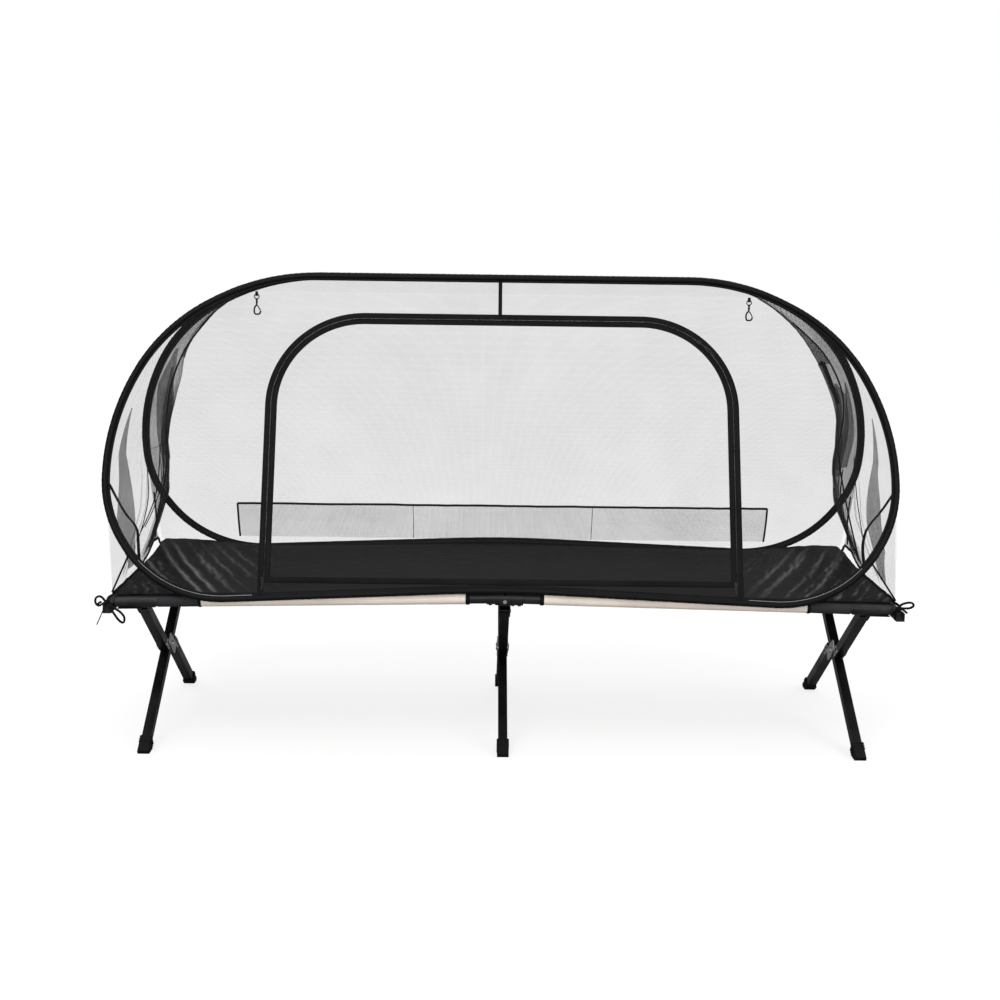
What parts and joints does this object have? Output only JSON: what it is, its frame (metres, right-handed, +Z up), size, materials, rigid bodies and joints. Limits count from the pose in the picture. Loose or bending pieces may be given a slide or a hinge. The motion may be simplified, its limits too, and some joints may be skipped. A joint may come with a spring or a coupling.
{
  "type": "folding cot",
  "caption": "Folding camp cot on scissor legs with a fabric sling, carrying a spring-hoop insect-net tent with an arched zip door.",
  "frame": {"origin": "on the floor, under the middle of the bed", "axes": "+X along the bed, +Y to the back (away from the door), +Z up"},
  "size_m": [2, 0.67, 1.1743],
  "materials": {
    "rail_tube": "black powder coat, satin",
    "leg_tube": "black powder coat, satin",
    "end_bar_tube": "black powder coat, satin",
    "black_steel": "black paint, semi-gloss",
    "steel_pin": "black oxide",
    "black_rivet": "black, semi-gloss",
    "zinc_rivet": "bright zinc",
    "zinc_plate": "dull zinc plating",
    "end_plug": "moulded, matt",
    "foot_rubber": "matt rubber",
    "sling_beige": "heavy woven polyester",
    "sling_black": "heavy woven polyester",
    "binding_tape": "woven tape",
    "hoop_sleeve": "taffeta sleeve",
    "spring_wire": "tempered spring steel",
    "net": "fine knitted net",
    "pocket_net": "coarser net",
    "tent_cloth": "coated taffeta, slight shine",
    "zip_slider": "black zip slider",
    "hook_plastic": "moulded hook"
  },
  "bodies": {
    "back_frame": {"back_rail_left": "rail_tube", "back_rail_right": "rail_tube", "back_rail_end_plugs": "end_plug", "back_hinge_leaves": "black_steel", "back_hinge_pin": "steel_pin", "back_leg_brackets": "black_steel", "back_rail_rivets": "black_rivet", "straight_leg_left": "leg_tube", "straight_leg_centre": "leg_tube", "straight_leg_right": "leg_tube", "front_foot_caps": "foot_rubber", "pivot_rivets": "zinc_rivet", "sling": "sling_beige", "sling_ends": "sling_black", "sleeve_bindings": "binding_tape"},
    "front_frame": {"front_rail_left": "rail_tube", "front_rail_right": "rail_tube", "front_rail_end_plugs": "end_plug", "front_hinge_leaves": "black_steel", "front_hinge_pin": "steel_pin", "front_leg_brackets": "black_steel", "front_rail_rivets": "black_rivet", "cut_leg_upper_left": "leg_tube", "cut_leg_upper_centre": "leg_tube", "cut_leg_upper_right": "leg_tube", "cut_leg_lower_left": "leg_tube", "cut_leg_lower_centre": "leg_tube", "cut_leg_lower_right": "leg_tube", "pivot_plates": "zinc_plate", "plate_rivets": "black_rivet", "back_foot_caps": "foot_rubber"},
    "end_bar_left": {"end_bar_left": "end_bar_tube", "end_bar_plugs_left": "end_plug"},
    "end_bar_right": {"end_bar_right": "end_bar_tube", "end_bar_plugs_right": "end_plug"},
    "tent": {"front_hoop_sleeve": "hoop_sleeve", "back_hoop_sleeve": "hoop_sleeve", "hoop_wires": "spring_wire", "ridge_binding": "binding_tape", "front_net": "net", "back_net": "net", "door_frame_band": "tent_cloth", "tent_floor": "tent_cloth", "end_net_left": "net", "end_net_right": "net", "corner_gussets": "tent_cloth", "mesh_pocket": "pocket_net", "centre_strap": "binding_tape", "hook_straps": "binding_tape", "corner_ties": "binding_tape"},
    "door": {"door_net": "net", "door_band": "tent_cloth"},
    "zip_left": {"zip_slider_left": "zip_slider"},
    "zip_right": {"zip_slider_right": "zip_slider"},
    "zip_pair": {"zip_slider_pair": "zip_slider"},
    "hook_left": {"hook_left": "hook_plastic"},
    "hook_right": {"hook_right": "hook_plastic"},
    "gate_left": {"hook_gate_left": "hook_plastic"},
    "gate_right": {"hook_gate_right": "hook_plastic"}
  },
  "joints": [
    {"name": "leg_scissor", "type": "hinge", "parent": "back_frame", "child": "front_frame", "pos_m": [0, 0, 0.19625], "axis": [-1, 0, 0], "range_deg": [0, 102], "deforming": ["sling", "sling_ends", "sleeve_bindings", "front_hoop_sleeve", "back_hoop_sleeve", "hoop_wires", "ridge_binding", "front_net", "back_net", "door_frame_band", "tent_floor", "end_net_left", "end_net_right", "corner_gussets", "mesh_pocket", "centre_strap", "hook_straps", "corner_ties", "door_net", "door_band", "zip_slider_left", "zip_slider_right", "zip_slider_pair", "hook_left", "hook_right", "hook_gate_left", "hook_gate_right"]},
    {"name": "end_bar_left_pull", "type": "slide", "parent": "back_frame", "child": "end_bar_left", "axis": [-1, 0, 0], "range_m": [0, 0.06], "deforming": ["corner_ties"]},
    {"name": "end_bar_right_pull", "type": "slide", "parent": "back_frame", "child": "end_bar_right", "axis": [1, 0, 0], "range_m": [0, 0.06]},
    {"name": "tent_lift", "type": "slide", "parent": "back_frame", "child": "tent", "axis": [0, 0, 1], "range_m": [0, 0.3]},
    {"name": "door_fold", "type": "hinge", "parent": "tent", "child": "door", "pos_m": [0, -0.30927, 0.43153], "axis": [1, 0, 0], "range_deg": [0, 135]},
    {"name": "zip_left_run", "type": "slide", "parent": "tent", "child": "zip_left", "axis": [0, 0.3745, 0.9272], "range_m": [0, 0.43]},
    {"name": "zip_right_run", "type": "slide", "parent": "tent", "child": "zip_right", "axis": [0, 0.3745, 0.9272], "range_m": [0, 0.43]},
    {"name": "zip_pair_run", "type": "hinge", "parent": "tent", "child": "zip_pair", "pos_m": [0.338, -0.14112, 0.84785], "axis": [0, -0.9272, 0.3745], "range_deg": [-40, 38]},
    {"name": "hook_left_swing", "type": "hinge", "parent": "tent", "child": "hook_left", "pos_m": [-0.638, -0.01639, 1.113], "axis": [1, 0, 0], "range_deg": [-20, 70]},
    {"name": "gate_left_open", "type": "hinge", "parent": "hook_left", "child": "gate_left", "pos_m": [-0.6287, -0.01639, 1.0762], "axis": [0, -1, 0], "range_deg": [0, 30], "stiffness_Nm_per_rad": 0.004, "springref_deg": -17.19},
    {"name": "hook_right_swing", "type": "hinge", "parent": "tent", "child": "hook_right", "pos_m": [0.618, -0.01639, 1.113], "axis": [1, 0, 0], "range_deg": [-20, 70]},
    {"name": "gate_right_open", "type": "hinge", "parent": "hook_right", "child": "gate_right", "pos_m": [0.6273, -0.01639, 1.0762], "axis": [0, -1, 0], "range_deg": [0, 30], "stiffness_Nm_per_rad": 0.004, "springref_deg": -17.19}
  ]
}
